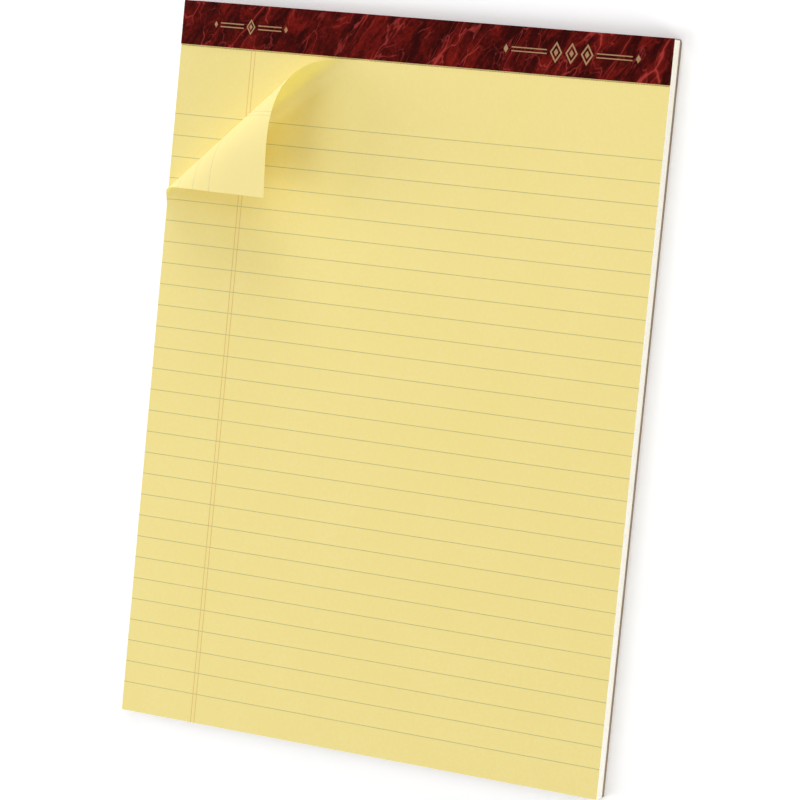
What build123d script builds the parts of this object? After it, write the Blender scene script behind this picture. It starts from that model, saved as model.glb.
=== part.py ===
"""A gummed legal pad: ruled sheets on a chipboard back, held at the head by a folded binding strip.
The top sheet is torn along its perforation at the left, and the freed corner is rolled over.

The pad lies on its back. X runs across it to the reader's right, Y runs up to the head, Z out of the paper.
The origin is in the middle of its footprint, on the surface that it lies on."""
from math import atan2, cos, degrees, sin
import os
from build123d import *

# The pad
PAD_WIDTH = 215.9
PAD_LENGTH = 298.45
BOARD_THICKNESS = 2.2
BLOCK_THICKNESS = 5.8
SHEET_THICKNESS = 0.1

# The binding strip, which is cover paper, and the gum under it
STRIP_THICKNESS = 0.25
STRIP_FRONT = 18.1
STRIP_BACK = 20.0
STRIP_FRONT_RADIUS = 0.3
STRIP_BACK_RADIUS = 2.0
GUM_THICKNESS = 0.3
BOARD_CORNER_RADIUS = 1.7
BOARD_STEP_GAP = 0.2

# The perforation, and how far the sheet has come away along it and down its left edge
PERFORATION_GAP = 0.4
TEAR_RUN = 87.0
LIFT_RUN = 68.0

# The roll of the freed corner is part of a cone. Its apex lies on the lift line, outside the sheet.
APEX_REACH = 57.0
ROLL_TURN = 178.4
ROLL_ONSET = 1.3
ROLL_RELEASE = 3.3
ROLL_STATIONS = 26
STATION_SPREAD = 1.4
STEPS_PER_STATION = 12
ROLL_END = 0.997

# The print
PRINT_THICKNESS = 0.03
RULE_WIDTH = 0.25
RULE_PITCH = 8.866
RULE_COUNT = 28
FIRST_RULE = 28.5
MARGIN_INSET = 33.2
MARGIN_SPACING = 1.65
MARGIN_WIDTH = 0.3
PRINT_CLEARANCE = 0.05
HIDDEN_PRINT = 4.0

# The foil ornament on the strip
LOZENGE_SLIMNESS = 0.62
LOZENGE_OPENING = 0.72
LOZENGE_CORE = 0.36
END_LOZENGE = 0.4
BAR_HEIGHT = 0.45
BAR_SPACING = 1.5
ORNAMENT_GAP = 1.3
LEFT_ORNAMENT_PLACE = -76.0
LEFT_ORNAMENT_WIDTH = 34.0
LEFT_ORNAMENT_HEIGHT = 6.5
LEFT_ORNAMENT_LOZENGES = 1
RIGHT_ORNAMENT_PLACE = 66.0
RIGHT_ORNAMENT_WIDTH = 58.0
RIGHT_ORNAMENT_HEIGHT = 8.5
RIGHT_ORNAMENT_LOZENGES = 3

# Levels and lines that follow
LEFT = -PAD_WIDTH / 2
RIGHT = PAD_WIDTH / 2
FOOT = -PAD_LENGTH / 2
HEAD = PAD_LENGTH / 2
BLOCK_TOP = BOARD_THICKNESS + BLOCK_THICKNESS
SHEET_TOP = BLOCK_TOP + SHEET_THICKNESS
STRIP_TOP = SHEET_TOP + STRIP_THICKNESS
STRIP_EDGE = HEAD - STRIP_FRONT
GUM_FACE = HEAD - STRIP_THICKNESS
STACK_HEAD = GUM_FACE - GUM_THICKNESS
TEAR_LINE = STRIP_EDGE - PERFORATION_GAP
TEAR_END = LEFT + TEAR_RUN
LIFT_FOOT = TEAR_LINE - LIFT_RUN
LIFT_ANGLE = atan2(LIFT_RUN, TEAR_RUN)
APEX = Vector(LEFT - APEX_REACH * cos(LIFT_ANGLE), LIFT_FOOT - APEX_REACH * sin(LIFT_ANGLE), BLOCK_TOP)
CORNER_ANGLE = atan2(TEAR_LINE - APEX.Y, LEFT - APEX.X)
RULE_HEIGHTS = [TEAR_LINE - FIRST_RULE - RULE_PITCH * index for index in range(RULE_COUNT)]
MARGIN_PLACES = (LEFT + MARGIN_INSET, LEFT + MARGIN_INSET + MARGIN_SPACING)

os.makedirs("parts", exist_ok=True)


def share_turned(way):
    """The share of the roll's turn made by a fraction of the way from the lift line to the corner."""
    return (1 - (1 - way) ** ROLL_RELEASE) ** ROLL_ONSET


def ruling_frames():
    """The direction and the upward normal of the ruling at each station of the roll."""
    along = Vector(cos(LIFT_ANGLE), sin(LIFT_ANGLE), 0)
    up = Vector(0, 0, 1)
    centre = (0, 0, 0)
    frames = []
    reached = 0
    for station in range(ROLL_STATIONS + 1):
        way = ROLL_END * (station / ROLL_STATIONS) ** STATION_SPREAD
        steps = STEPS_PER_STATION if station else 0
        for step in range(steps):
            low = reached + (way - reached) * step / steps
            high = reached + (way - reached) * (step + 1) / steps
            swing = degrees(CORNER_ANGLE - LIFT_ANGLE) * (high - low)
            turn = ROLL_TURN * (share_turned(high) - share_turned(low))
            bend = Axis(centre, along)
            up = up.rotate(bend, turn)
            along = along.rotate(Axis(centre, up), swing)
        reached = way
        frames.append((LIFT_ANGLE + (CORNER_ANGLE - LIFT_ANGLE) * way, along, up))
    return frames


def draw_rules():
    """Draw the rules from side to side, open where the margin lines cross them."""
    with Locations(*[(0, height) for height in RULE_HEIGHTS]):
        Rectangle(PAD_WIDTH, RULE_WIDTH)
    with Locations(*[(place, 0) for place in MARGIN_PLACES]):
        Rectangle(MARGIN_WIDTH, PAD_LENGTH, mode=Mode.SUBTRACT)


def draw_margin():
    """Draw the double margin line from foot to head."""
    with Locations(*[(place, 0) for place in MARGIN_PLACES]):
        Rectangle(MARGIN_WIDTH, PAD_LENGTH)


def freed_corner(inset, mode):
    """The triangle that the top sheet has left, less a band along the lift line."""
    head_limit = TEAR_LINE - (PRINT_CLEARANCE if inset else 0)
    Polygon(
        (LEFT, head_limit),
        (LEFT, LIFT_FOOT + inset / cos(LIFT_ANGLE)),
        (TEAR_END - inset / sin(LIFT_ANGLE), head_limit),
        align=None,
        mode=mode,
    )


def strip_cover(mode):
    """The band at the head that the strip and the stub cover."""
    with Locations((0, TEAR_LINE)):
        Rectangle(PAD_WIDTH, HEAD - TEAR_LINE, align=(Align.CENTER, Align.MIN), mode=mode)


def lozenge(height, mode=Mode.ADD):
    """An upright lozenge."""
    half_width = height * LOZENGE_SLIMNESS / 2
    half_height = height / 2
    Polygon((half_width, 0), (0, half_height), (-half_width, 0), (0, -half_height), mode=mode)


def draw_ornament(width, height, lozenges):
    """A row of open lozenges, with a pair of bars and a small lozenge on either side."""
    pitch = height * LOZENGE_SLIMNESS + ORNAMENT_GAP
    middle = (lozenges - 1) / 2
    half_row = (lozenges * pitch + ORNAMENT_GAP) / 2
    end_height = height * END_LOZENGE
    end_place = (width - end_height * LOZENGE_SLIMNESS) / 2
    bar_length = width / 2 - half_row - end_height * LOZENGE_SLIMNESS - ORNAMENT_GAP
    with Locations(*[((index - middle) * pitch, 0) for index in range(lozenges)]):
        lozenge(height)
        lozenge(height * LOZENGE_OPENING, Mode.SUBTRACT)
        lozenge(height * LOZENGE_CORE)
    with Locations((-end_place, 0), (end_place, 0)):
        lozenge(end_height)
    for side in (-1, 1):
        bar_centre = side * (half_row + bar_length / 2)
        with Locations((bar_centre, BAR_SPACING / 2), (bar_centre, -BAR_SPACING / 2)):
            Rectangle(bar_length, BAR_HEIGHT)


# Backing board, stepped at the back to take the strip's leg so that the pad lies flat
with BuildPart() as backing_board:
    with BuildSketch(Plane.YZ.offset(LEFT)) as board_section:
        with BuildLine():
            Polyline(
                (FOOT, 0),
                (HEAD - STRIP_BACK - BOARD_STEP_GAP, 0),
                (HEAD - STRIP_BACK - BOARD_STEP_GAP, STRIP_THICKNESS),
                (STACK_HEAD, STRIP_THICKNESS),
                (STACK_HEAD, BOARD_THICKNESS),
                (FOOT, BOARD_THICKNESS),
                close=True,
            )
        make_face()
        head_corner = board_section.vertices().group_by(Axis.X)[-1].sort_by(Axis.Y)[0]
        fillet(head_corner, BOARD_CORNER_RADIUS)
    extrude(amount=PAD_WIDTH)
backing_board.part.label = "backing_board"

# Sheets under the top one, one block
with BuildPart() as page_block:
    with BuildSketch(Plane.XY.offset(BOARD_THICKNESS)):
        with Locations((0, (FOOT + STACK_HEAD) / 2)):
            Rectangle(PAD_WIDTH, STACK_HEAD - FOOT)
    extrude(amount=BLOCK_THICKNESS)
page_block.part.label = "page_block"

# Top sheet: the flat stretch with its stub, and the roll lofted through sections along the cone's rulings
with BuildPart() as top_sheet:
    with BuildSketch(Plane.XY.offset(BLOCK_TOP)):
        with BuildLine():
            Polyline(
                (LEFT, FOOT),
                (RIGHT, FOOT),
                (RIGHT, STACK_HEAD),
                (LEFT, STACK_HEAD),
                (LEFT, TEAR_LINE),
                (TEAR_END, TEAR_LINE),
                (LEFT, LIFT_FOOT),
                close=True,
            )
        make_face()
    extrude(amount=SHEET_THICKNESS)
    for angle, along, up in ruling_frames():
        near_edge = (LEFT - APEX.X) / cos(angle)
        far_edge = (TEAR_LINE - APEX.Y) / sin(angle)
        ruling = Plane(origin=APEX + along * near_edge, x_dir=along, z_dir=along.cross(up))
        with BuildSketch(ruling):
            Rectangle(far_edge - near_edge, SHEET_THICKNESS, align=(Align.MIN, Align.MIN))
    loft()
top_sheet.part.label = "top_sheet"

# Gum along the head edges of the sheets and the board
with BuildPart() as head_glue:
    with BuildSketch(Plane.XZ.offset(-STACK_HEAD)):
        gum_foot = STRIP_BACK_RADIUS
        with Locations((0, (gum_foot + SHEET_TOP) / 2)):
            Rectangle(PAD_WIDTH, SHEET_TOP - gum_foot)
    extrude(amount=-GUM_THICKNESS)
    front_corner = head_glue.edges().filter_by(Axis.X).group_by(Axis.Z)[-1].sort_by(Axis.Y)[-1]
    fillet(front_corner, STRIP_FRONT_RADIUS - STRIP_THICKNESS)
head_glue.part.label = "head_glue"

# Binding strip, folded over the head: its inner line, offset outwards by the thickness of the paper
with BuildPart() as binding_strip:
    with BuildSketch(Plane.YZ.offset(LEFT)):
        with BuildLine():
            FilletPolyline(
                (STRIP_EDGE, SHEET_TOP),
                (GUM_FACE, SHEET_TOP),
                (GUM_FACE, STRIP_THICKNESS),
                (HEAD - STRIP_BACK, STRIP_THICKNESS),
                radius=[STRIP_FRONT_RADIUS - STRIP_THICKNESS, STRIP_BACK_RADIUS - STRIP_THICKNESS],
            )
            offset(amount=STRIP_THICKNESS, side=Side.LEFT)
        make_face()
    extrude(amount=PAD_WIDTH)
binding_strip.part.label = "binding_strip"

# Blue rules, on the flat of the top sheet and on the corner of the second sheet that lies bare
with BuildPart() as ruled_lines:
    with BuildSketch(Plane.XY.offset(SHEET_TOP)):
        draw_rules()
        freed_corner(0, Mode.SUBTRACT)
    with BuildSketch(Plane.XY.offset(BLOCK_TOP)):
        draw_rules()
        freed_corner(HIDDEN_PRINT, Mode.INTERSECT)
    extrude(amount=PRINT_THICKNESS)
ruled_lines.part.label = "ruled_lines"

# Red double margin, on the same two sheets
with BuildPart() as margin_lines:
    with BuildSketch(Plane.XY.offset(SHEET_TOP)):
        draw_margin()
        freed_corner(0, Mode.SUBTRACT)
        strip_cover(Mode.SUBTRACT)
    with BuildSketch(Plane.XY.offset(BLOCK_TOP)):
        draw_margin()
        freed_corner(HIDDEN_PRINT, Mode.INTERSECT)
    extrude(amount=PRINT_THICKNESS)
margin_lines.part.label = "margin_lines"

# Foil ornament on the strip's front leg
with BuildPart() as foil_print:
    strip_middle = HEAD - STRIP_FRONT / 2
    with BuildSketch(Plane((LEFT_ORNAMENT_PLACE, strip_middle, STRIP_TOP))):
        draw_ornament(LEFT_ORNAMENT_WIDTH, LEFT_ORNAMENT_HEIGHT, LEFT_ORNAMENT_LOZENGES)
    with BuildSketch(Plane((RIGHT_ORNAMENT_PLACE, strip_middle, STRIP_TOP))):
        draw_ornament(RIGHT_ORNAMENT_WIDTH, RIGHT_ORNAMENT_HEIGHT, RIGHT_ORNAMENT_LOZENGES)
    extrude(amount=PRINT_THICKNESS)
foil_print.part.label = "foil_print"

pieces = (backing_board, page_block, top_sheet, head_glue, binding_strip, ruled_lines, margin_lines, foil_print)
for piece in pieces:
    export_step(piece.part, f"parts/{piece.part.label}.step")
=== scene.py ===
"""Dresses the packed legal pad: rolled top sheet, sheet block, print, marbled head strip, board and studio.

Everything is in metres, in the frame of the packed model: X across the pad to the reader's right,
Y up to the bound head, Z out of the ruled face."""
import math
import random

import bpy
from bpy.props import FloatProperty, FloatVectorProperty, IntProperty, PointerProperty
from mathutils import Matrix, Vector


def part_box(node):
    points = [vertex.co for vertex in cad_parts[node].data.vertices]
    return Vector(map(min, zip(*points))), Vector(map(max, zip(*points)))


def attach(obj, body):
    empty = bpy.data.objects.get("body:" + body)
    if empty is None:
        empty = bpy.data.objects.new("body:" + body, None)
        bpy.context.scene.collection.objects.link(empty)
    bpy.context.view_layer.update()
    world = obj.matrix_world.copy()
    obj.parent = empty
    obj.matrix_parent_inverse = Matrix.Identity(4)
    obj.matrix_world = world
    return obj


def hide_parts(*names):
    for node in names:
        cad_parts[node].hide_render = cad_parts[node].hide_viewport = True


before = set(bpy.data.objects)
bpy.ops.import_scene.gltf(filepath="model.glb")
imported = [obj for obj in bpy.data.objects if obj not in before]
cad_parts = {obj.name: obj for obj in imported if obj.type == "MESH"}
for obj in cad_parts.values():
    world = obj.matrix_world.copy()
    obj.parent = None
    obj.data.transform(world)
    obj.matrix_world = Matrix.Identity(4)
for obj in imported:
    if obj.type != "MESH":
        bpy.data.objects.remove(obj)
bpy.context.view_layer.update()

bl_info = {
    "name": "Legal Pad Dressing",
    "version": (1, 0, 0),
    "blender": (4, 5, 0),
    "location": "View3D > Sidebar > Legal Pad",
    "description": "Paper, print, head strip, board and studio for a packed legal pad",
    "category": "Object",
}

BLOCK_LOW, BLOCK_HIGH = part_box("page_block")
STRIP_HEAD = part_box("binding_strip")[1].y
LEFT = BLOCK_LOW.x
RIGHT = BLOCK_HIGH.x
FOOT = BLOCK_LOW.y
STACK_HEAD = BLOCK_HIGH.y
BLOCK_TOP = BLOCK_HIGH.z
BODY = "root"
UP = Vector((0, 0, 1))
ACROSS = Vector((1, 0, 0))

# Columns and rows of the node trees, in the editor's units
COLUMN = 220
ROW = 260

# The roll and its mesh
CREASE = math.radians(35)  # an edge sharper than this stays crisp
FLAT_RULINGS = (0.030, 0.012)  # angles below the lift line of the rulings that lie flat
RULING_EASE = 1.2  # above one, rulings crowd towards the lift line
TURN_STEPS = 4  # turns from one ruling to the next
RECESS_RUN = 12  # the torn edge stands back in full after one part in this many of the roll
STUB_SLOPE = 0.004  # run over which the stub's edge meets the end of the tear
SUNK_SHARE = 0.25  # how deep the print goes into the paper, as a share of its height above it

# The torn ties and the perforation
TIE_TIP = 0.28  # a tie's half breadth at its tip, where it is a half at its root
TIE_SIDES = 6
TIE_CLEAR = 0.006  # bare run before the end of the tear
ON_SHEET = 0.55  # share of the ties that stay on the sheet
LEAST_TIE = 0.35  # least share of its size that a tie keeps
LEAST_SLIT = 0.8  # and a slit
NUDGE = 0.0002  # step by which the ways along and out of the edge are found
TEAR_SEED, TIE_SEED, SLIT_SEED, STACK_SEED = 11, 3, 5, 7

# How far each second tone goes from the first one, towards the colour named where it is used
BACK_FIBRE = 0.15
EDGE_FIBRE = 0.07
SLIT_FIBRE = 0.2
INK_BREAK = 0.25
FOIL_WEAR = 0.25
GUM_AGE = 0.5
BOARD_DEPTH = 0.35
OLD_GUM = (0.7, 0.66, 0.56)

# Finishes. A grain is a fibre's length, a cloud's breadth and the balance of the two. A tooth is its depth.
TONE_EDGES = (0.32, 0.68)
PAPER_TOOTH, PAPER_ROUGHNESS, PAPER_GLOSS = 0.00002, 0.9, 0.08
PAPER_BALANCE = 0.65
INK_BALANCE = 0.9
FOIL_FINISH = ((0.0006, 0.01, 0.7), 0.00001, 0.38, 0.5, 1.0)  # grain, tooth, roughness, gloss, metal
GUM_FINISH = ((0.002, 0.012, 0.5), 0.00008, 0.42)
STRIP_ROUGHNESS, STRIP_GLOSS, STRIP_TOOTH = 0.5, 0.03, 0.000008
STRIP_GRAIN = (0.0005, 0.01, 0.8)
BOARD_ROUGHNESS, BOARD_GLOSS, BOARD_TOOTH = 0.92, 0.2, 0.00008
BOARD_CLOUD, BOARD_BALANCE = 0.02, 0.6
FIBRE_SHARE = 0.6  # fibre's length in the board, as a share of a fleck's
# Each fleck's colour, the edges of its mask and the seed of its noise
FLECKS = (("dark_fleck", 0.70, 0.76, 3.0), ("pale_fleck", 0.71, 0.77, 9.0))

# The marble
MOTTLE_SHARE = 0.30
CLOUD_EDGES = (0.555, 0.88)
VEIN_EDGES = (0.44, 0.62)
VEIN_PATCHES = 0.8  # patches with veins, to one spacing of the veins
LEAST_WIDTH = 0.3  # a vein's width where it fades out, to its width in full
HALO_REACH = 5  # in widths of the vein
# For each layer, its share of the main veins' spacing and of their width, its strength and its halo
VEIN_LAYERS = ((1.0, 1.0, 0.95, 0.65), (0.42, 0.6, 0.70, 0.0), (0.23, 0.45, 0.42, 0.0))

# The studio
FLOOR_HALF = 3.0
FLOOR_DROP = 0.00005
FLOOR_SHADE = 0.78  # how pale the floor is to the light that falls on the pad
WHITE = (1.0, 1.0, 1.0, 1.0)
SENSOR_WIDTH = 36.0
CLIP = (0.05, 50.0)
# Each lamp's bearing from +X and its height above the floor, in degrees
LAMPS = (
    ("high_head_lamp", 45, 50),
    ("low_head_lamp", 90, 18),
    ("low_left_lamp", 180, 18),
    ("high_foot_lamp", 215, 50),
    ("low_right_lamp", 330, 10),
)


# Settings

def size(name, description, default, least=0.0):
    """A length that a user would change."""
    return FloatProperty(
        name=name, description=description, default=default, min=least, subtype="DISTANCE", unit="LENGTH",
        precision=5)


def dial(name, description, degrees):
    """An angle that a user would change."""
    return FloatProperty(
        name=name, description=description, default=math.radians(degrees), subtype="ANGLE", unit="ROTATION")


def slider(name, description, default, **limits):
    """A plain number that a user would change."""
    return FloatProperty(name=name, description=description, default=default, **limits)


def counter(name, description, default, **limits):
    """A whole number that a user would change."""
    return IntProperty(name=name, description=description, default=default, **limits)


def colour(name, description, default):
    """A colour that a user would change, written as the eye sees it."""
    return FloatVectorProperty(
        name=name, description=description, default=default, subtype="COLOR_GAMMA", size=3, min=0.0, max=1.0)


def share(name, description, default):
    """A share from nought to one."""
    return slider(name, description, default, min=0.0, max=1.0, subtype="FACTOR")


def power(name, default):
    """A lamp's power."""
    return slider(name, f"Power of the {name.lower()}", default, min=0.0, unit="POWER")


class PadPaperSettings(bpy.types.PropertyGroup):
    """The writing paper and the block of it."""

    canary: colour("Canary", "Face of the writing paper", (0.952, 0.886, 0.590))
    deep_canary: colour("Deep canary", "Thicker fibre in the writing paper", (0.944, 0.874, 0.562))
    # Painted light: the cut edges are near white rather than canary, standing in for the light on the block's
    # sides
    cut_edge_painted_light: colour("Cut edge", "Guillotined edges of the sheets", (0.998, 0.992, 0.972))
    sheets: counter("Sheets", "Sheets under the top one", 49, min=1, max=200)
    scatter: size("Scatter", "How far a sheet's cut edge falls back from the block's side", 0.00003)
    air: share("Air", "Share of each sheet's pitch that is air", 0.10)
    fibre: size("Fibre", "Length of the paper's visible fibre clumps", 0.0011, 0.0001)
    cloud: size("Cloud", "Breadth of the paper's uneven tone", 0.030, 0.001)
    # Painted light: the underside is paler than the canary face so that the rolled flap shows the light that
    # falls on it
    underside: colour("Underside", "Back of a loose sheet", (0.998, 0.966, 0.752))
    face_glow: colour("Face glow", "Light that comes through a loose sheet to its face", (0.93, 0.94, 0.62))
    back_glow: colour("Back glow", "Light that comes through a loose sheet to its back", (1.0, 0.965, 0.59))
    show_through: share("Show through", "How far a loose sheet lets light through", 0.35)
    settled: size("Settled", "Height under a sheet at which it starts to let light through", 0.0003)
    clear: size("Clear", "Height under a sheet at which it lets through its full share", 0.004)


class PadRollSettings(bpy.types.PropertyGroup):
    """The rolled corner of the top sheet, part of a cone."""

    thickness: size("Thickness", "Thickness of the top sheet", 0.0001, 0.00001)
    strip_front: size("Strip front", "Depth of the strip on the ruled face", 0.0181)
    perforation_gap: size("Perforation gap", "From the strip's edge to the perforation", 0.0004)
    tear_run: size("Tear run", "Length torn along the perforation", 0.087, 0.001)
    lift_run: size("Lift run", "Length freed down the left edge", 0.068, 0.001)
    apex_reach: size("Apex reach", "From the sheet's left edge to the cone's apex", 0.057, 0.001)
    turn: dial("Turn", "Whole turn of the roll", 178.4)
    onset: slider("Onset", "How gently the roll begins", 1.3, min=0.1)
    release: slider("Release", "How early the roll does its turning", 3.3, min=0.1)
    stations: counter("Stations", "Rulings along the roll", 150, min=8)
    crossings: counter("Crossings", "Divisions along each ruling", 10, min=1)
    recess: size("Recess", "How far the torn edge stands back between its ties", 0.0002)


class PadPrintSettings(bpy.types.PropertyGroup):
    """The printed rules and margin."""

    rule_pitch: size("Rule pitch", "From rule to rule", 0.008866, 0.001)
    rule_width: size("Rule width", "Width of a rule", 0.00025, 0.00001)
    first_rule: size("First rule", "From the perforation to the first rule", 0.0285)
    margin_inset: size("Margin inset", "From the left edge to the margin", 0.0332)
    margin_spacing: size("Margin spacing", "Between the two margin lines", 0.00165)
    margin_width: size("Margin width", "Width of a margin line", 0.0003, 0.00001)
    film: size("Film", "Height of the print above the paper", 0.00002, 0.000001)
    blue: colour("Rule ink", "Ink of the rules", (0.71, 0.70, 0.520))
    red: colour("Margin ink", "Ink of the margin", (0.88, 0.73, 0.455))
    back_fade: share("Back fade", "How far the print on the sheet's back fades into the paper", 0.62)


class PadTearSettings(bpy.types.PropertyGroup):
    """The perforation, dark and wide as painted shadow under the strip's edge, and the torn ties along it."""

    pitch: size("Pitch", "From tie to tie along the perforation", 0.0013, 0.0002)
    tie: size("Tie", "Breadth of a torn tie", 0.0005, 0.00005)
    slit_pitch: size("Slit pitch", "From slit to slit along the perforation", 0.00065, 0.0002)
    slit: size("Slit", "Length of a perforation slit", 0.00062, 0.00005)
    # Painted shadow: the slits are drawn wide and dark, so that besides the perforation they paint the shadow
    # under the strip's lower edge
    slit_width: size("Slit width", "Width of a perforation slit", 0.0005, 0.00001)
    slit_painted_shadow: colour("Slit shade", "Shade in the perforation", (0.60, 0.51, 0.29))
    burr: size("Burr", "Height of a slit's pressed edge", 0.00002, 0.000001)


class PadStripSettings(bpy.types.PropertyGroup):
    """The marbled binding strip, its foil and its gum."""

    ground: colour("Ground", "Darkest marble", (0.178, 0.018, 0.014))
    cloud: colour("Cloud", "Red clouds in the marble", (0.48, 0.095, 0.070))
    vein: colour("Vein", "Veins in the marble", (0.63, 0.215, 0.200))
    cloud_size: size("Cloud size", "Breadth of a cloud in the marble", 0.008, 0.0005)
    mottle_size: size("Mottle size", "Breadth of the mottling in the clouds", 0.0016, 0.0002)
    vein_spacing: size("Vein spacing", "From one main vein to the next", 0.016, 0.001)
    vein_width: size("Vein width", "Half the breadth of a main vein where it is widest", 0.00033, 0.00005)
    wander: size("Wander", "How far the veins and clouds wander from straight", 0.010)
    draw: slider("Draw", "How far the marble is drawn out along its veins", 2.8, min=1.0)
    slant: dial("Slant", "How far the veins lean from the strip's length", 58.0)
    foil: colour("Foil", "Pale gold foil", (0.60, 0.51, 0.37))
    gum: colour("Gum", "Dried padding gum", (0.88, 0.86, 0.80))


class PadBoardSettings(bpy.types.PropertyGroup):
    """The chipboard back."""

    board: colour("Board", "Chipboard", (0.60, 0.525, 0.44))
    dark_fleck: colour("Dark fleck", "Dark fibre in the chipboard", (0.40, 0.33, 0.27))
    pale_fleck: colour("Pale fleck", "Pale fibre in the chipboard", (0.78, 0.72, 0.63))
    fleck: size("Fleck", "Length of a fleck", 0.0016, 0.0001)


class PadStageSettings(bpy.types.PropertyGroup):
    """The floor, light and camera."""

    aim: FloatVectorProperty(
        name="Aim", description="Point that the camera looks at", default=(0.00686, -0.00346, 0.0081),
        subtype="TRANSLATION", unit="LENGTH")
    distance: size("Distance", "From the camera to its aim", 1.23573, 0.1)
    azimuth: dial("Azimuth", "Camera's bearing from +X", 11.748)
    elevation: dial("Elevation", "Camera's height above the floor", 64.841)
    bank: dial("Bank", "Camera's turn about its line of sight", 95.141)
    lens: slider("Lens", "Focal length", 138.24, min=1.0, subtype="DISTANCE_CAMERA")
    sky: slider("Sky", "Level of the even light from all round", 0.30, min=0.0)
    high_head_lamp: power("High head lamp", 5.6)
    low_head_lamp: power("Low head lamp", 11.4)
    low_left_lamp: power("Low left lamp", 10.0)
    high_foot_lamp: power("High foot lamp", 7.2)
    low_right_lamp: power("Low right lamp", 14.5)
    lamp_distance: size("Lamp distance", "From the pad to each lamp", 1.6, 0.1)
    lamp_breadth: size("Lamp breadth", "Breadth of each lamp", 1.0, 0.01)
    floor: slider("Floor", "How pale the floor is to the camera", 1.12, min=0.0)
    floor_near: size("Floor near", "Reach of the floor that takes shadows in full", 0.45)
    floor_far: size("Floor far", "Reach beyond which the floor is plain white", 1.0)


SETTINGS = {
    "pad_paper": PadPaperSettings,
    "pad_roll": PadRollSettings,
    "pad_print": PadPrintSettings,
    "pad_tear": PadTearSettings,
    "pad_strip": PadStripSettings,
    "pad_board": PadBoardSettings,
    "pad_stage": PadStageSettings,
}


def linear(shown):
    """A colour as the eye sees it, as the light that the shaders reckon in."""
    return tuple(c / 12.92 if c <= 0.04045 else ((c + 0.055) / 1.055) ** 2.4 for c in shown) + (1.0,)


# Nodes

def node(tree, kind, settings=None, *sources, **inputs):
    """Add a node, with its settings and the values or sources of its sockets, in order or by name."""
    made = tree.nodes.new(kind)
    for name, value in (settings or {}).items():
        setattr(made, name, value)
    for socket, source in zip(made.inputs, sources):
        feed(tree, socket, source)
    for name, source in inputs.items():
        feed(tree, made.inputs[name.replace("_", " ")], source)
    return made


def feed(tree, socket, source):
    """Give a socket a plain value, an output of another node, or that node's first output."""
    if isinstance(source, bpy.types.Node):
        source = source.outputs[0]
    if isinstance(source, bpy.types.NodeSocket):
        tree.links.new(source, socket)
    else:
        socket.default_value = source


def sums(tree, operation, *sources):
    """A Math node."""
    return node(tree, "ShaderNodeMath", {"operation": operation}, *sources)


def vectors(tree, operation, *sources):
    """A Vector Math node."""
    return node(tree, "ShaderNodeVectorMath", {"operation": operation}, *sources)


def live(made):
    """The output that a node shows for its present kind of data."""
    return [socket for socket in made.outputs if socket.enabled][0]


def noise(tree, place, scale, detail, roughness=0.5, distortion=0.0):
    """A Noise node."""
    return node(
        tree, "ShaderNodeTexNoise", Vector=place, Scale=scale, Detail=detail, Roughness=roughness,
        Distortion=distortion)


def mixed(tree, factor, first, second):
    """Two colours mixed by a factor."""
    made = node(tree, "ShaderNodeMix", {"data_type": "RGBA"})
    for number, source in ((0, factor), (6, first), (7, second)):
        feed(tree, made.inputs[number], source)
    return made.outputs[2]


def between(tree, value, low, high, to_low=0.0, to_high=1.0):
    """A value taken smoothly from one range to another."""
    smooth = {"interpolation_type": "SMOOTHSTEP"}
    return node(tree, "ShaderNodeMapRange", smooth, value, low, high, to_low, to_high)


def blend(tree, factor, first, second):
    """Two shaders mixed by a factor."""
    return node(tree, "ShaderNodeMixShader", None, factor, first, second)


def arrange(tree):
    """Lay a tree's nodes out in columns, each to the right of all that feeds it."""
    column = {made.name: 0 for made in tree.nodes}
    for _ in tree.nodes:
        for link in tree.links:
            column[link.to_node.name] = max(column[link.to_node.name], column[link.from_node.name] + 1)
    filled = {}
    for name, place in column.items():
        row = filled.setdefault(place, 0)
        tree.nodes[name].location = (place * COLUMN, -row * ROW)
        filled[place] += 1


def new_tree(name, kind, inputs, outputs):
    """An empty node tree with named inputs, each with its kind and perhaps a default, and named outputs."""
    tree = bpy.data.node_groups.new(name, kind)
    for label, data, *default in inputs:
        made = tree.interface.new_socket(label, in_out="INPUT", socket_type="NodeSocket" + data)
        if default:
            made.default_value = default[0]
    for label, data in outputs:
        tree.interface.new_socket(label, in_out="OUTPUT", socket_type="NodeSocket" + data)
    return tree, node(tree, "NodeGroupInput").outputs, node(tree, "NodeGroupOutput").inputs


def fibre_group():
    """Fibre and cloudy tone, shared by the papers, the foil, the gum and the board."""
    name = "fibre_and_cloud"
    if name in bpy.data.node_groups:
        return bpy.data.node_groups[name]
    group, value, end = new_tree(
        name, "ShaderNodeTree",
        [("Fibre", "Float", 0.001), ("Cloud", "Float", 0.03), ("Balance", "Float", 0.5)],
        [("Tone", "Float"), ("Height", "Float")])
    place = node(group, "ShaderNodeTexCoord").outputs["Object"]
    fibre = noise(
        group, place, sums(group, "DIVIDE", 1.0, value["Fibre"]), detail=4.0, roughness=0.62, distortion=0.6)
    cloud = noise(group, place, sums(group, "DIVIDE", 1.0, value["Cloud"]), detail=3.0, roughness=0.55)
    fine = sums(group, "MULTIPLY", fibre, value["Balance"])
    rest = sums(group, "SUBTRACT", 1.0, value["Balance"])
    tone = sums(group, "MULTIPLY_ADD", cloud, rest, fine)
    feed(group, end["Tone"], between(group, tone, *TONE_EDGES))
    feed(group, end["Height"], fibre)
    arrange(group)
    return group


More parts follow.
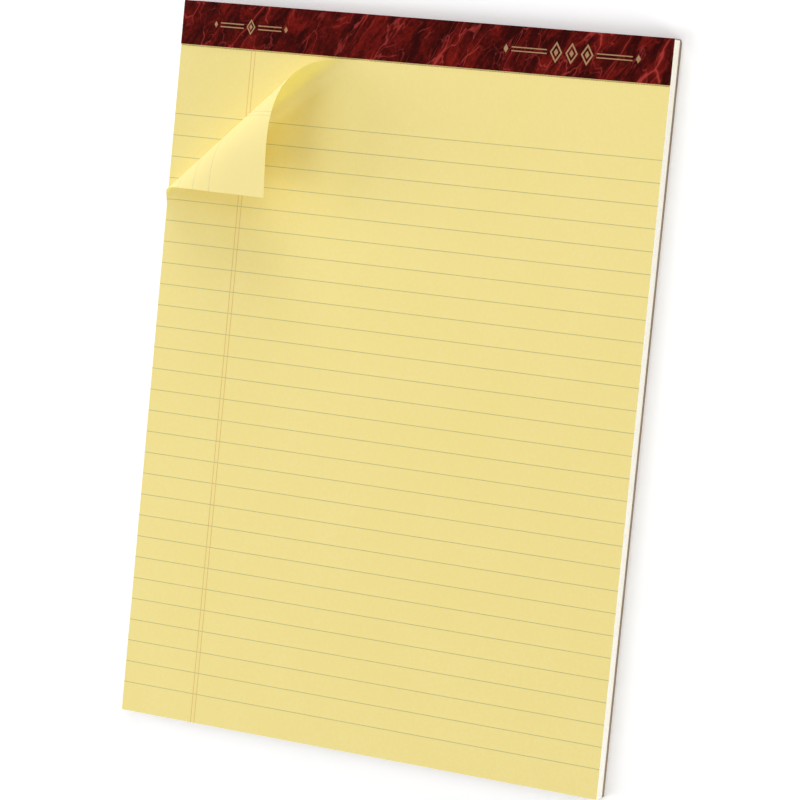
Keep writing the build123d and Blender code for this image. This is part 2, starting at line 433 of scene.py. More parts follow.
def fresh_material(name, roughness, specular=0.5, metallic=0.0):
    """A material with its shader's plain values set."""
    made = bpy.data.materials.new(name)
    made.use_nodes = True
    shader = made.node_tree.nodes["Principled BSDF"]
    for label, value in (("Roughness", roughness), ("Specular IOR Level", specular), ("Metallic", metallic)):
        shader.inputs[label].default_value = value
    return made, made.node_tree, shader


def fibre_node(tree, fibre, cloud, balance):
    """The fibre group, placed in a material with its own values."""
    group = {"node_tree": fibre_group()}
    return node(tree, "ShaderNodeGroup", group, Fibre=fibre, Cloud=cloud, Balance=balance)


def finish(tree, shader, tone, height, depth):
    """Colour a shader, bump it by a height with its depth in metres, and lay its tree out."""
    feed(tree, shader.inputs["Base Color"], tone)
    bump = node(tree, "ShaderNodeBump", Strength=1.0, Distance=depth, Height=height)
    feed(tree, shader.inputs["Normal"], bump)
    arrange(tree)


def two_tone(name, tones, grain, depth, roughness, specular=0.5, metallic=0.0):
    """A material of two tones mixed by its grain, with a fine tooth of a depth in metres."""
    if name in bpy.data.materials:
        return bpy.data.materials[name]
    made, tree, shader = fresh_material(name, roughness, specular, metallic)
    fibre = fibre_node(tree, *grain)
    first, second = tones
    tone = mixed(tree, fibre.outputs["Tone"], linear(first), linear(second))
    finish(tree, shader, tone, fibre.outputs["Height"], depth)
    return made


def paper_material(name, face, deep, balance=PAPER_BALANCE):
    """Uncoated paper."""
    paper = bpy.context.scene.pad_paper
    grain = (paper.fibre, paper.cloud, balance)
    return two_tone(name, (face, deep), grain, PAPER_TOOTH, PAPER_ROUGHNESS, PAPER_GLOSS)


def canary_paper():
    """The writing paper's face."""
    paper = bpy.context.scene.pad_paper
    return paper_material("canary_writing_paper", paper.canary, paper.deep_canary)


def loose_leaf(name, face, deep, glowing):
    """The writing paper where it has come away, which lets through a share of the light behind it."""
    paper = bpy.context.scene.pad_paper
    made = paper_material(name, face, deep)
    tree = made.node_tree
    place = node(tree, "ShaderNodeTexCoord")
    parts = node(tree, "ShaderNodeSeparateXYZ", Vector=place.outputs["Object"])
    lifted = between(
        tree, parts.outputs["Z"], BLOCK_TOP + paper.settled, BLOCK_TOP + paper.clear, 0.0, paper.show_through)
    glow = node(tree, "ShaderNodeBsdfTranslucent", Color=linear(glowing))
    surface = blend(tree, lifted, tree.nodes["Principled BSDF"], glow)
    feed(tree, tree.nodes["Material Output"].inputs["Surface"], surface)
    arrange(tree)
    return made


def between_colours(first, second, way):
    """A colour part of the way from one to another."""
    return tuple(a + (b - a) * way for a, b in zip(first, second))


def ink_material(name, ink, paper, fade=0.0):
    """Ink that has sunk into paper of a colour, a little broken by its fibre."""
    faded = between_colours(ink, paper, fade)
    return paper_material(name, faded, between_colours(faded, paper, INK_BREAK), INK_BALANCE)


def dress(name, material):
    """Give a packed node a material in place of its own."""
    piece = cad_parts[name]
    if not piece.material_slots:
        piece.data.materials.append(material)
    for place in piece.material_slots:
        place.material = material


# Meshes

def thick_mesh(name, places, faces, low, high):
    """A closed mesh from a surface: its faces at two heights along the normals, and a wall round its rim.
    places holds (point, up) pairs, and faces run anticlockwise seen from above."""
    below = len(places)
    points = [point + up * low for point, up in places] + [point + up * high for point, up in places]
    shell = [[below + corner for corner in face] for face in faces]
    shell += [list(reversed(face)) for face in faces]
    sides = dict.fromkeys(side for face in faces for side in zip(face, face[1:] + face[:1]))
    for first, second in sides:
        if (second, first) not in sides:
            shell.append([first, second, below + second, below + first])
    mesh = bpy.data.meshes.new(name)
    mesh.from_pydata([tuple(point) for point in points], [], shell)
    mesh.validate()
    mesh.update()
    return mesh


def placed(name, data):
    """A new object in the scene."""
    made = bpy.data.objects.new(name, data)
    bpy.context.scene.collection.objects.link(made)
    return made


def new_piece(name, mesh, materials, replaced=()):
    """A finished piece that rides on the pad, shaded smooth with its creases left crisp."""
    piece = placed(name, mesh)
    for material in materials:
        mesh.materials.append(material)
    mesh.shade_smooth()
    mesh.set_sharp_from_angle(angle=CREASE)
    adopt(piece, replaced)


def adopt(piece, replaced=()):
    """Let a piece ride on the pad, and hide the nodes that it stands for."""
    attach(piece, BODY)
    if replaced:
        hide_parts(*replaced)


class Roll:
    """The top sheet's shape. Flat below the lift line, and beyond it turned about the rulings of a cone."""

    def __init__(self):
        sizes = bpy.context.scene.pad_roll
        self.sizes = sizes
        self.tear_line = STRIP_HEAD - sizes.strip_front - sizes.perforation_gap
        self.tear_end = LEFT + sizes.tear_run
        self.lift_foot = self.tear_line - sizes.lift_run
        self.lift_angle = math.atan2(sizes.lift_run, sizes.tear_run)
        self.apex = Vector((
            LEFT - sizes.apex_reach * math.cos(self.lift_angle),
            self.lift_foot - sizes.apex_reach * math.sin(self.lift_angle),
            BLOCK_TOP))
        self.corner_angle = math.atan2(self.tear_line - self.apex.y, LEFT - self.apex.x)
        self.torn_line = self.tear_line - sizes.recess
        self.end_angle = math.atan2(self.torn_line - self.apex.y, LEFT - self.apex.x)
        self.rulings = self.make_rulings()

    def turned(self, way):
        """Share of the turn made by a share of the way from the lift line to the corner."""
        return (1 - (1 - way) ** self.sizes.release) ** self.sizes.onset

    def make_rulings(self):
        """Each ruling's angle in the flat sheet, direction and upward normal, from the lift line on."""
        spread = self.corner_angle - self.lift_angle
        last = (self.end_angle - self.lift_angle) / spread
        along = Vector((math.cos(self.lift_angle), math.sin(self.lift_angle), 0))
        up = UP
        rulings = [(self.lift_angle, along.copy(), up.copy())]
        reached = 0.0
        for station in range(1, self.sizes.stations + 1):
            way = last * (station / self.sizes.stations) ** RULING_EASE
            for step in range(TURN_STEPS):
                low = reached + (way - reached) * step / TURN_STEPS
                high = reached + (way - reached) * (step + 1) / TURN_STEPS
                up = Matrix.Rotation(self.sizes.turn * (self.turned(high) - self.turned(low)), 3, along) @ up
                along = Matrix.Rotation(spread * (high - low), 3, up) @ along
            reached = way
            rulings.append((self.lift_angle + spread * way, along.copy(), up.copy()))
        return rulings

    def flat(self, x, y):
        """A place on the flat of the sheet's underside."""
        return Vector((x, y, BLOCK_TOP)), UP

    def place(self, x, y):
        """Where a point of the flat sheet has gone, and its upward normal."""
        dx, dy = x - self.apex.x, y - self.apex.y
        angle = math.atan2(dy, dx)
        if angle <= self.lift_angle:
            return self.flat(x, y)
        low = 0
        while low < len(self.rulings) - 2 and self.rulings[low + 1][0] < angle:
            low += 1
        (first, first_along, first_up), (second, second_along, second_up) = self.rulings[low:low + 2]
        span = math.sin(second - first)
        to_first = (dx * math.sin(second) - dy * math.cos(second)) / span
        to_second = (dy * math.cos(first) - dx * math.sin(first)) / span
        way = min(max((angle - first) / (second - first), 0.0), 1.0)
        return (
            self.apex + first_along * to_first + second_along * to_second,
            first_up.lerp(second_up, way).normalized(),
        )

    def edge_reach(self, angle, way):
        """Distances from the apex at which a ruling enters the sheet and leaves it."""
        edge = self.tear_line - self.sizes.recess * min(1.0, way * RECESS_RUN)
        return (LEFT - self.apex.x) / math.cos(angle), (edge - self.apex.y) / math.sin(angle)


def rolled_sheet_mesh(roll):
    """The whole top sheet with its stub and its rolled corner, closed."""
    sizes = roll.sizes
    across = sizes.crossings
    rows = []
    for less in FLAT_RULINGS:
        angle = roll.lift_angle - less
        rows.append((angle, Vector((math.cos(angle), math.sin(angle), 0)), UP, 0.0))
    last = len(roll.rulings) - 1
    rows += [(*ruling, index / last) for index, ruling in enumerate(roll.rulings)]
    grid = []
    places = []
    for angle, along, up, way in rows[:-1]:
        near, far = roll.edge_reach(angle, way)
        grid.append(list(range(len(places), len(places) + across + 1)))
        for step in range(across + 1):
            places.append((roll.apex + along * (near + (far - near) * step / across), up))
    angle, along, up, way = rows[-1]
    near, far = roll.edge_reach(angle, way)
    corner = len(places)
    places.append((roll.apex + along * ((near + far) / 2), up))
    faces = []
    for first, second in zip(grid, grid[1:]):
        faces += [[first[step], first[step + 1], second[step + 1], second[step]] for step in range(across)]
    faces += [[grid[-1][step], grid[-1][step + 1], corner] for step in range(across)]
    behind = roll.tear_line + sizes.recess
    outline = [(LEFT, FOOT), (RIGHT, FOOT), (RIGHT, STACK_HEAD), (LEFT, STACK_HEAD), (LEFT, behind),
               (roll.tear_end - STUB_SLOPE, behind)]
    flat = list(range(len(places), len(places) + len(outline)))
    places += [roll.flat(x, y) for x, y in outline]
    flat += [grid[row][-1] for row in range(len(FLAT_RULINGS), -1, -1)]
    faces.append(flat + list(reversed(grid[0][:-1])))
    mesh = thick_mesh("rolled_sheet", places, faces, 0.0, sizes.thickness)
    for face in mesh.polygons[len(faces):2 * len(faces)]:
        face.material_index = 1
    return mesh


def ribbon(roll, sides, end, crossing):
    """Places and faces of a printed line's lifted part, from its end down to the lift line.
    end finds a side's last point on the flat sheet, and crossing its point on a ruling of a slope."""
    ends = [end(side) for side in sides]
    limit = min(math.atan2(y - roll.apex.y, x - roll.apex.x) for x, y in ends)
    slopes = [math.tan(angle) for angle, _, _ in reversed(roll.rulings) if angle < limit]
    pairs = [ends] + [[crossing(side, slope) for side in sides] for slope in slopes]
    places = [roll.place(*point) for pair in pairs for point in pair]
    faces = [[2 * i, 2 * i + 2, 2 * i + 3, 2 * i + 1] for i in range(len(pairs) - 1)]
    return places, faces


def rule_ribbon(roll, height, width):
    """The lifted part of a rule, which ends at the left edge."""
    return ribbon(
        roll, (height - width / 2, height + width / 2), lambda y: (LEFT, y),
        lambda y, slope: (roll.apex.x + (y - roll.apex.y) / slope, y))


def margin_ribbon(roll, place, width):
    """The lifted part of a margin line, which ends at the torn edge."""
    return ribbon(
        roll, (place - width / 2, place + width / 2), lambda x: (x, roll.torn_line),
        lambda x, slope: (x, roll.apex.y + (x - roll.apex.x) * slope))


def joined(parts):
    """Several strips of print as one list of places and faces."""
    places, faces = [], []
    for part_places, part_faces in parts:
        start = len(places)
        places += part_places
        faces += [[start + corner for corner in face] for face in part_faces]
    return places, faces


# Geometry Nodes

def new_shape_tree(name, inputs):
    """An empty Geometry Nodes tree that takes a shape and named inputs, and puts out a shape."""
    return new_tree(name, "GeometryNodeTree", [("Geometry", "Geometry")] + inputs, [("Geometry", "Geometry")])


def chance(tree, seed, least=0.0):
    """A random share from a least one up to one, drawn anew for each point."""
    made = node(tree, "FunctionNodeRandomValue", {"data_type": "FLOAT"}, Seed=seed)
    lowest = [socket for socket in made.inputs if socket.enabled and socket.name == "Min"][0]
    feed(tree, lowest, least)
    return live(made)


def settle(name, mesh, tree, values):
    """Run a tree on a mesh and keep what it makes as a plain mesh."""
    piece = placed(name, mesh)
    modifier = piece.modifiers.new(name, "NODES")
    modifier.node_group = tree
    for item in tree.interface.items_tree:
        if item.item_type == "SOCKET" and item.in_out == "INPUT" and item.name in values:
            modifier[item.identifier] = values[item.name]
    piece.update_tag()
    bpy.context.view_layer.update()
    made = bpy.data.meshes.new_from_object(piece.evaluated_get(bpy.context.evaluated_depsgraph_get()))
    piece.modifiers.clear()
    piece.data = made
    made.name = name
    if not made.polygons:
        raise RuntimeError(f"{name} came out of its nodes empty")
    return piece


def sheet_block_tree():
    """Cut sheets flush at the head, and each but the top one fallen back a little at its sides and foot."""
    tree, value, end = new_shape_tree("sheet_block", [
        ("Sheets", "Int", 49),
        ("Width", "Float", 0.2),
        ("Length", "Float", 0.3),
        ("Height", "Float", 0.006),
        ("Air", "Float", 0.1),
        ("Scatter", "Float", 0.0001),
        ("Seed", "Int", 7),
        ("Face Paper", "Material"),
        ("Edge Paper", "Material"),
    ])
    pitch = sums(tree, "DIVIDE", value["Height"], value["Sheets"])
    step = node(tree, "ShaderNodeCombineXYZ", Z=pitch)
    line = node(tree, "GeometryNodeMeshLine", Count=value["Sheets"], Offset=step)
    air = sums(tree, "MULTIPLY", pitch, value["Air"])
    thickness = sums(tree, "SUBTRACT", pitch, air)
    cube_size = node(tree, "ShaderNodeCombineXYZ", X=value["Width"], Y=value["Length"], Z=thickness)
    cube = node(tree, "GeometryNodeMeshCube", Size=cube_size)
    index = node(tree, "GeometryNodeInputIndex")
    below_top = sums(tree, "LESS_THAN", index, sums(tree, "SUBTRACT", value["Sheets"], 1.0))
    fall = sums(tree, "MULTIPLY", below_top, value["Scatter"])
    chances = [chance(tree, sums(tree, "ADD", value["Seed"], float(number))) for number in range(3)]
    across = sums(tree, "MULTIPLY", chances[0], fall)
    down = sums(tree, "MULTIPLY", chances[1], fall)
    scale = node(
        tree, "ShaderNodeCombineXYZ",
        X=sums(tree, "SUBTRACT", 1.0, sums(tree, "DIVIDE", across, value["Width"])),
        Y=sums(tree, "SUBTRACT", 1.0, sums(tree, "DIVIDE", down, value["Length"])),
        Z=1.0)
    sideways = sums(tree, "MULTIPLY", across, sums(tree, "SUBTRACT", chances[2], 0.5))
    up_page = sums(tree, "MULTIPLY", down, 0.5)
    lift = sums(tree, "MULTIPLY_ADD", thickness, 0.5, air)
    shift = node(tree, "ShaderNodeCombineXYZ", X=sideways, Y=up_page, Z=lift)
    spots = node(tree, "GeometryNodeSetPosition", Geometry=line, Offset=shift)
    sheets = node(tree, "GeometryNodeInstanceOnPoints", Points=spots, Instance=cube, Scale=scale)
    real = node(tree, "GeometryNodeRealizeInstances", Geometry=sheets)
    faces = node(tree, "GeometryNodeSetMaterial", Geometry=real, Material=value["Face Paper"])
    parts = node(tree, "ShaderNodeSeparateXYZ", Vector=node(tree, "GeometryNodeInputNormal"))
    upright = sums(tree, "LESS_THAN", sums(tree, "ABSOLUTE", parts.outputs[2]), 0.5)
    # The upright faces take the edge paper, whose pale colour paints the light on the block's sides
    edges = node(
        tree, "GeometryNodeSetMaterial", Geometry=faces, Selection=upright,
        Material=value["Edge Paper"])
    feed(tree, end[0], edges)
    arrange(tree)
    return tree


def ties_tree():
    """Small tapered ties on points that carry the way out of the paper's edge and the way along it."""
    name = "torn_ties"
    if name in bpy.data.node_groups:
        return bpy.data.node_groups[name]
    tree, value, end = new_shape_tree(name, [
        ("Breadth", "Float", 0.0005),
        ("Reach", "Float", 0.0002),
        ("Thickness", "Float", 0.0001),
        ("Least Reach", "Float", 0.4),
        ("Sides", "Int", 6),
        ("Seed", "Int", 3),
        ("Material", "Material"),
    ])
    tie = node(tree, "GeometryNodeMeshCone", Vertices=value["Sides"], Radius_Top=TIE_TIP, Radius_Bottom=0.5,
               Depth=1.0)
    kept = chance(tree, value["Seed"], value["Least Reach"])
    scale = node(
        tree, "ShaderNodeCombineXYZ", X=sums(tree, "MULTIPLY", kept, value["Breadth"]),
        Y=value["Thickness"], Z=sums(tree, "MULTIPLY", kept, value["Reach"]))
    ways = [
        live(node(tree, "GeometryNodeInputNamedAttribute", {"data_type": "FLOAT_VECTOR"}, Name=label))
        for label in ("outwards", "along")]
    turn = node(tree, "FunctionNodeAxesToRotation", {"primary_axis": "Z", "secondary_axis": "X"}, *ways)
    ties = node(tree, "GeometryNodeInstanceOnPoints", Points=value["Geometry"], Instance=tie, Rotation=turn,
                Scale=scale)
    real = node(tree, "GeometryNodeRealizeInstances", Geometry=ties)
    dressed = node(tree, "GeometryNodeSetMaterial", Geometry=real, Material=value["Material"])
    feed(tree, end[0], dressed)
    arrange(tree)
    return tree


def points_mesh(name, points):
    """A mesh of loose points, each with its way outwards and its way along the edge."""
    mesh = bpy.data.meshes.new(name)
    mesh.from_pydata([tuple(place) for place, _, _ in points], [], [])
    for number, label in enumerate(("outwards", "along"), start=1):
        held = mesh.attributes.new(label, "FLOAT_VECTOR", "POINT")
        held.data.foreach_set("vector", [part for point in points for part in point[number]])
    return mesh


# Operators

class PAD_OT_roll_sheet(bpy.types.Operator):
    """Make the top sheet with its rolled corner"""

    bl_idname = "pad.roll_sheet"
    bl_label = "Top sheet"

    def execute(self, context):
        paper = context.scene.pad_paper
        # The back takes the paler underside colour, painted light that brightens the flap
        back = between_colours(paper.underside, paper.deep_canary, BACK_FIBRE)
        new_piece("rolled_sheet", rolled_sheet_mesh(Roll()), [
            loose_leaf("top_sheet_face", paper.canary, paper.deep_canary, paper.face_glow),
            loose_leaf("top_sheet_underside", paper.underside, back, paper.back_glow),
        ], ["top_sheet"])
        return {"FINISHED"}


class PAD_OT_print_roll(bpy.types.Operator):
    """Print the rules and the margin on both faces of the rolled corner"""

    bl_idname = "pad.print_roll"
    bl_label = "Print on the roll"

    def execute(self, context):
        roll = Roll()
        ink = context.scene.pad_print
        paper = context.scene.pad_paper
        rules = []
        height = roll.tear_line - ink.first_rule
        while height > roll.lift_foot:
            rules.append(rule_ribbon(roll, height, ink.rule_width))
            height -= ink.rule_pitch
        margins = [
            margin_ribbon(roll, LEFT + ink.margin_inset + shift, ink.margin_width)
            for shift in (0.0, ink.margin_spacing)]
        blue = ink_material("rule_ink", ink.blue, paper.canary)
        red = ink_material("margin_ink", ink.red, paper.canary)
        # The print on the back fades into the paler underside colour, so it carries the same painted light
        pale_blue = ink_material("rule_ink_on_back", ink.blue, paper.underside, ink.back_fade)
        pale_red = ink_material("margin_ink_on_back", ink.red, paper.underside, ink.back_fade)
        sunk = ink.film * SUNK_SHARE
        face = (roll.sizes.thickness - sunk, roll.sizes.thickness + ink.film)
        back = (-ink.film, sunk)
        for name, strips, material, slot_name, depths in (
            ("rolled_rules", rules, blue, "blue_ink", face),
            ("rolled_margin", margins, red, "red_ink", face),
            ("rules_on_back", rules, pale_blue, "blue_ink", back),
            ("margin_on_back", margins, pale_red, "red_ink", back),
        ):
            new_piece(name, thick_mesh(name, *joined(strips), *depths), [material])
        dress("ruled_lines", blue)
        dress("margin_lines", red)
        return {"FINISHED"}


class PAD_OT_tear_edge(bpy.types.Operator):
    """Leave torn ties along the freed edge and its stub, and press the perforation where it still holds, dark
    and wide as painted shadow under the strip's edge
    """

    bl_idname = "pad.tear_edge"
    bl_label = "Torn edge"

    def execute(self, context):
        roll = Roll()
        tear = context.scene.pad_tear
        paper = context.scene.pad_paper
        thickness = roll.sizes.thickness
        recess = roll.sizes.recess
        draws = random.Random(TEAR_SEED)
        torn = []
        x = LEFT + tear.pitch / 2
        while x < roll.tear_end - TIE_CLEAR:
            base, up = roll.place(x, roll.torn_line)
            inner, _ = roll.place(x, roll.torn_line - NUDGE)
            beside, _ = roll.place(x - NUDGE, roll.torn_line)
            if draws.random() < ON_SHEET:
                outwards, along = (base - inner).normalized(), (base - beside).normalized()
                torn.append((base + up * thickness / 2, outwards, along))
            else:
                stub = Vector((x, roll.tear_line + recess, BLOCK_TOP + thickness / 2))
                torn.append((stub, Vector((0, -1, 0)), ACROSS))
            x += tear.pitch
        values = {
            "Breadth": tear.tie, "Reach": recess, "Thickness": thickness, "Least Reach": LEAST_TIE,
            "Sides": TIE_SIDES, "Seed": TIE_SEED, "Material": canary_paper()}
        adopt(settle("torn_ties", points_mesh("torn_points", torn), ties_tree(), values))
        # The slits paint the strip's shadow along its lower edge as well as the perforation itself
        slits = []
        x = LEFT + tear.slit_pitch
        while x < RIGHT - tear.slit_pitch:
            level = BLOCK_TOP + (thickness if x > roll.tear_end else 0.0)
            slits.append((Vector((x, roll.tear_line, level)), UP, ACROSS))
            x += tear.slit_pitch
        worn = between_colours(tear.slit_painted_shadow, paper.canary, SLIT_FIBRE)
        values.update({
            "Breadth": tear.slit, "Reach": tear.burr, "Thickness": tear.slit_width, "Least Reach": LEAST_SLIT,
            "Seed": SLIT_SEED, "Material": paper_material("slit_paper", tear.slit_painted_shadow, worn)})
        adopt(settle("perforation", points_mesh("slit_points", slits), ties_tree(), values))
        return {"FINISHED"}


class PAD_OT_stack_sheets(bpy.types.Operator):
    """Stack the cut sheets under the top one"""

    bl_idname = "pad.stack_sheets"
    bl_label = "Sheet block"

    def execute(self, context):
        paper = context.scene.pad_paper
        # The near-white edge colour is painted light on the block's sides
        tinted = between_colours(paper.cut_edge_painted_light, paper.canary, EDGE_FIBRE)
        edge_paper = paper_material("cut_sheet_edge", paper.cut_edge_painted_light, tinted)
        piece = settle("sheet_block", bpy.data.meshes.new("sheet_block_seed"), sheet_block_tree(), {
            "Sheets": paper.sheets, "Width": RIGHT - LEFT, "Length": STACK_HEAD - FOOT,
            "Height": BLOCK_TOP - BLOCK_LOW.z, "Air": paper.air, "Scatter": paper.scatter, "Seed": STACK_SEED,
            "Face Paper": canary_paper(), "Edge Paper": edge_paper})
        middle = Vector(((LEFT + RIGHT) / 2, (FOOT + STACK_HEAD) / 2, BLOCK_LOW.z))
        piece.data.transform(Matrix.Translation(middle))
        adopt(piece, ["page_block"])
        return {"FINISHED"}


class PAD_OT_bind_head(bpy.types.Operator):
    """Give the binding strip its marble, its foil its gold and the gum its finish"""

    bl_idname = "pad.bind_head"
    bl_label = "Binding strip"

    def execute(self, context):
        strip = context.scene.pad_strip
        dress("binding_strip", marble_material(strip))
        worn = between_colours(strip.foil, strip.cloud, FOIL_WEAR)
        dress("foil_print", two_tone("pale_gold_foil", (strip.foil, worn), *FOIL_FINISH))
        aged = between_colours(strip.gum, OLD_GUM, GUM_AGE)
        dress("head_glue", two_tone("dried_padding_gum", (strip.gum, aged), *GUM_FINISH))
        return {"FINISHED"}


def marble_material(strip):
    """Printed marble: a dark ground, mottled red clouds, and long slanting veins that come and go."""
    made, tree, shader = fresh_material("marbled_strip_paper", STRIP_ROUGHNESS, STRIP_GLOSS)
    place = node(tree, "ShaderNodeTexCoord").outputs["Object"]
    leant = node(tree, "ShaderNodeMapping", Vector=place, Rotation=(0.0, 0.0, -strip.slant))
    drawn = node(tree, "ShaderNodeMapping", Vector=leant, Scale=(1.0 / strip.draw, 1.0, 1.0))
    warp = noise(tree, drawn, 1.0 / strip.cloud_size, detail=3.0)
    centred = vectors(tree, "SUBTRACT", warp.outputs["Color"], (0.5, 0.5, 0.5))
    pushed = vectors(tree, "MULTIPLY_ADD", centred, (strip.wander,) * 3, drawn)
    cloud = noise(tree, pushed, 1.0 / strip.cloud_size, detail=8.0, roughness=0.70)
    mottle = noise(tree, place, 1.0 / strip.mottle_size, detail=4.0, roughness=0.75)
    both = sums(tree, "MULTIPLY_ADD", mottle, MOTTLE_SHARE, cloud)
    tone = mixed(tree, between(tree, both, *CLOUD_EDGES), linear(strip.ground), linear(strip.cloud))
    for spacing_share, width_share, strength, halo in VEIN_LAYERS:
        spacing = strip.vein_spacing * spacing_share
        width = strip.vein_width * width_share / spacing
        cells = node(tree, "ShaderNodeTexVoronoi", {"feature": "DISTANCE_TO_EDGE"}, Vector=pushed,
                     Scale=1.0 / spacing, Randomness=1.0).outputs["Distance"]
        there = noise(tree, pushed, VEIN_PATCHES / spacing, detail=3.0)
        seen = between(tree, there, *VEIN_EDGES)
        wide = sums(tree, "MULTIPLY_ADD", seen, width, LEAST_WIDTH * width)
        layers = [(wide, strength, strip.vein)]
        if halo:
            layers.insert(0, (HALO_REACH * width, halo, strip.cloud))
        for reach, level, tint in layers:
            line = sums(tree, "MULTIPLY", between(tree, cells, 0.0, reach, level, 0.0), seen)
            tone = mixed(tree, line, tone, linear(tint))
    finish(tree, shader, tone, fibre_node(tree, *STRIP_GRAIN).outputs["Height"], STRIP_TOOTH)
    return made


class PAD_OT_face_board(bpy.types.Operator):
    """Give the backing board its flecked chipboard"""

    bl_idname = "pad.face_board"
    bl_label = "Backing board"

    def execute(self, context):
        board = context.scene.pad_board
        made, tree, shader = fresh_material("flecked_chipboard", BOARD_ROUGHNESS, BOARD_GLOSS)
        place = node(tree, "ShaderNodeTexCoord").outputs["Object"]
        fibre = fibre_node(tree, board.fleck * FIBRE_SHARE, BOARD_CLOUD, BOARD_BALANCE)
        dark = between_colours(board.board, board.dark_fleck, BOARD_DEPTH)
        tone = mixed(tree, fibre.outputs["Tone"], linear(board.board), linear(dark))
        for label, low, high, seed in FLECKS:
            flecks = node(
                tree, "ShaderNodeTexNoise", {"noise_dimensions": "4D"}, Vector=place, Scale=1.0 / board.fleck,
                Detail=3.0, Roughness=0.7, Distortion=1.5, W=seed)
            mask = between(tree, flecks, low, high)
            tone = mixed(tree, mask, tone, linear(getattr(board, label)))
        finish(tree, shader, tone, fibre.outputs["Height"], BOARD_TOOTH)
        dress("backing_board", made)
        return {"FINISHED"}


def outward(bearing, height):
    """A unit step out at a bearing from +X and a height above the floor."""
    level = math.cos(height)
    return Vector((level * math.cos(bearing), level * math.sin(bearing), math.sin(height)))


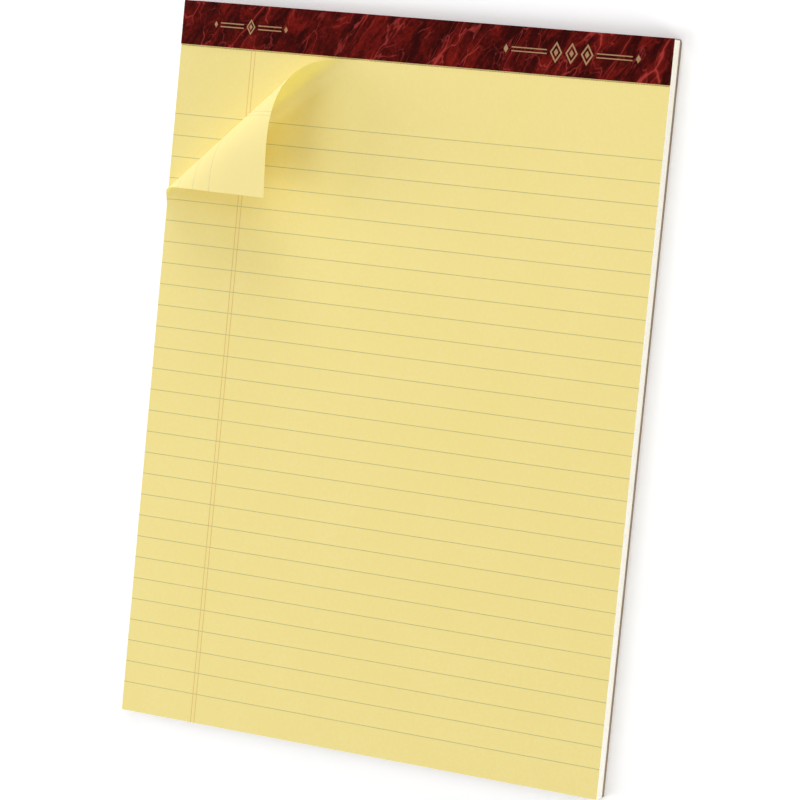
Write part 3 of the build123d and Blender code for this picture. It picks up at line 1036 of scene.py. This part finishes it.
class PAD_OT_set_stage(bpy.types.Operator):
    """Set the floor, the light and the camera"""

    bl_idname = "pad.set_stage"
    bl_label = "Studio"

    def execute(self, context):
        scene = context.scene
        stage = scene.pad_stage
        scene.view_settings.view_transform = "Standard"
        self.add_floor(stage)
        self.add_sky(scene, stage)
        for name, bearing, height in LAMPS:
            self.add_lamp(stage, name, outward(math.radians(bearing), math.radians(height)))
        self.add_camera(scene, stage)
        return {"FINISHED"}

    def add_floor(self, stage):
        """A pale floor, whiter to the camera than to the light on the pad, and plain white far off."""
        mesh = bpy.data.meshes.new("studio_floor")
        half = FLOOR_HALF
        corners = [(-half, -half), (half, -half), (half, half), (-half, half)]
        mesh.from_pydata([(x, y, -FLOOR_DROP) for x, y in corners], [], [[0, 1, 2, 3]])
        floor = placed("studio_floor", mesh)
        made = bpy.data.materials.new("plain_pale_floor")
        made.use_nodes = True
        tree = made.node_tree
        tree.nodes.clear()
        to_camera = node(tree, "ShaderNodeLightPath").outputs["Is Camera Ray"]
        level = sums(tree, "MULTIPLY_ADD", to_camera, stage.floor - FLOOR_SHADE, FLOOR_SHADE)
        shaded = node(tree, "ShaderNodeBsdfDiffuse", Color=level)
        place = node(tree, "ShaderNodeTexCoord")
        reach = vectors(tree, "LENGTH", place.outputs["Object"]).outputs["Value"]
        away = between(tree, reach, stage.floor_near, stage.floor_far)
        plain_white = node(tree, "ShaderNodeEmission", Color=WHITE, Strength=1.0)
        surface = blend(tree, sums(tree, "MULTIPLY", away, to_camera), shaded, plain_white)
        node(tree, "ShaderNodeOutputMaterial", Surface=surface)
        arrange(tree)
        mesh.materials.append(made)

    def add_sky(self, scene, stage):
        """Even light from all round, plain white to the camera and in gloss."""
        world = bpy.data.worlds.new("studio_sky")
        scene.world = world
        world.use_nodes = True
        tree = world.node_tree
        tree.nodes.clear()
        path = node(tree, "ShaderNodeLightPath").outputs
        seen = sums(tree, "MAXIMUM", path["Is Camera Ray"], path["Is Glossy Ray"])
        seen = sums(tree, "MAXIMUM", seen, path["Is Transmission Ray"])
        level = sums(tree, "MULTIPLY_ADD", seen, 1.0 - stage.sky, stage.sky)
        shader = node(tree, "ShaderNodeBackground", Color=WHITE, Strength=level)
        node(tree, "ShaderNodeOutputWorld", Surface=shader)
        arrange(tree)

    def add_lamp(self, stage, name, way):
        """A broad soft lamp that faces the pad, off in the direction of a unit step."""
        lamp = bpy.data.lights.new(name, "AREA")
        lamp.shape = "DISK"
        lamp.size = stage.lamp_breadth
        lamp.energy = getattr(stage, name)
        holder = placed(name, lamp)
        holder.location = way * stage.lamp_distance
        holder.rotation_euler = (-way).to_track_quat("-Z", "Y").to_euler()

    def add_camera(self, scene, stage):
        """The camera, from its aim, distance, bearing, height and bank."""
        lens = bpy.data.cameras.new("pad_camera")
        lens.sensor_width = SENSOR_WIDTH
        lens.lens = stage.lens
        lens.clip_start, lens.clip_end = CLIP
        camera = placed("pad_camera", lens)
        back = outward(stage.azimuth, stage.elevation)
        look = -back
        level = (UP - look * look.z).normalized()
        up = level * math.cos(stage.bank) + look.cross(level) * math.sin(stage.bank)
        turn = Matrix((look.cross(up), up, back)).transposed()
        camera.matrix_world = Matrix.Translation(Vector(stage.aim) + back * stage.distance) @ turn.to_4x4()
        scene.camera = camera


OPERATORS = (
    PAD_OT_roll_sheet,
    PAD_OT_print_roll,
    PAD_OT_tear_edge,
    PAD_OT_stack_sheets,
    PAD_OT_bind_head,
    PAD_OT_face_board,
    PAD_OT_set_stage,
)


class PAD_PT_dressing(bpy.types.Panel):
    """Lists the pad's operators and their settings"""

    bl_label = "Legal Pad"
    bl_idname = "PAD_PT_dressing"
    bl_space_type = "VIEW_3D"
    bl_region_type = "UI"
    bl_category = "Legal Pad"

    def draw(self, context):
        for operator in OPERATORS:
            self.layout.operator(operator.bl_idname)
        for held, settings in SETTINGS.items():
            box = self.layout.box()
            box.label(text=settings.__doc__)
            for name in settings.__annotations__:
                box.prop(getattr(context.scene, held), name)


def register():
    """Register the settings, the operators and the panel."""
    for held, settings in SETTINGS.items():
        bpy.utils.register_class(settings)
        setattr(bpy.types.Scene, held, PointerProperty(type=settings))
    for made in OPERATORS + (PAD_PT_dressing,):
        bpy.utils.register_class(made)


def unregister():
    """Take the panel, the operators and the settings out again."""
    for made in reversed(OPERATORS + (PAD_PT_dressing,)):
        bpy.utils.unregister_class(made)
    for held, settings in reversed(SETTINGS.items()):
        delattr(bpy.types.Scene, held)
        bpy.utils.unregister_class(settings)


def main():
    """Dress the pad."""
    register()
    bpy.ops.pad.roll_sheet()
    bpy.ops.pad.print_roll()
    bpy.ops.pad.tear_edge()
    bpy.ops.pad.stack_sheets()
    bpy.ops.pad.bind_head()
    bpy.ops.pad.face_board()
    bpy.ops.pad.set_stage()


if __name__ == "__main__":
    main()
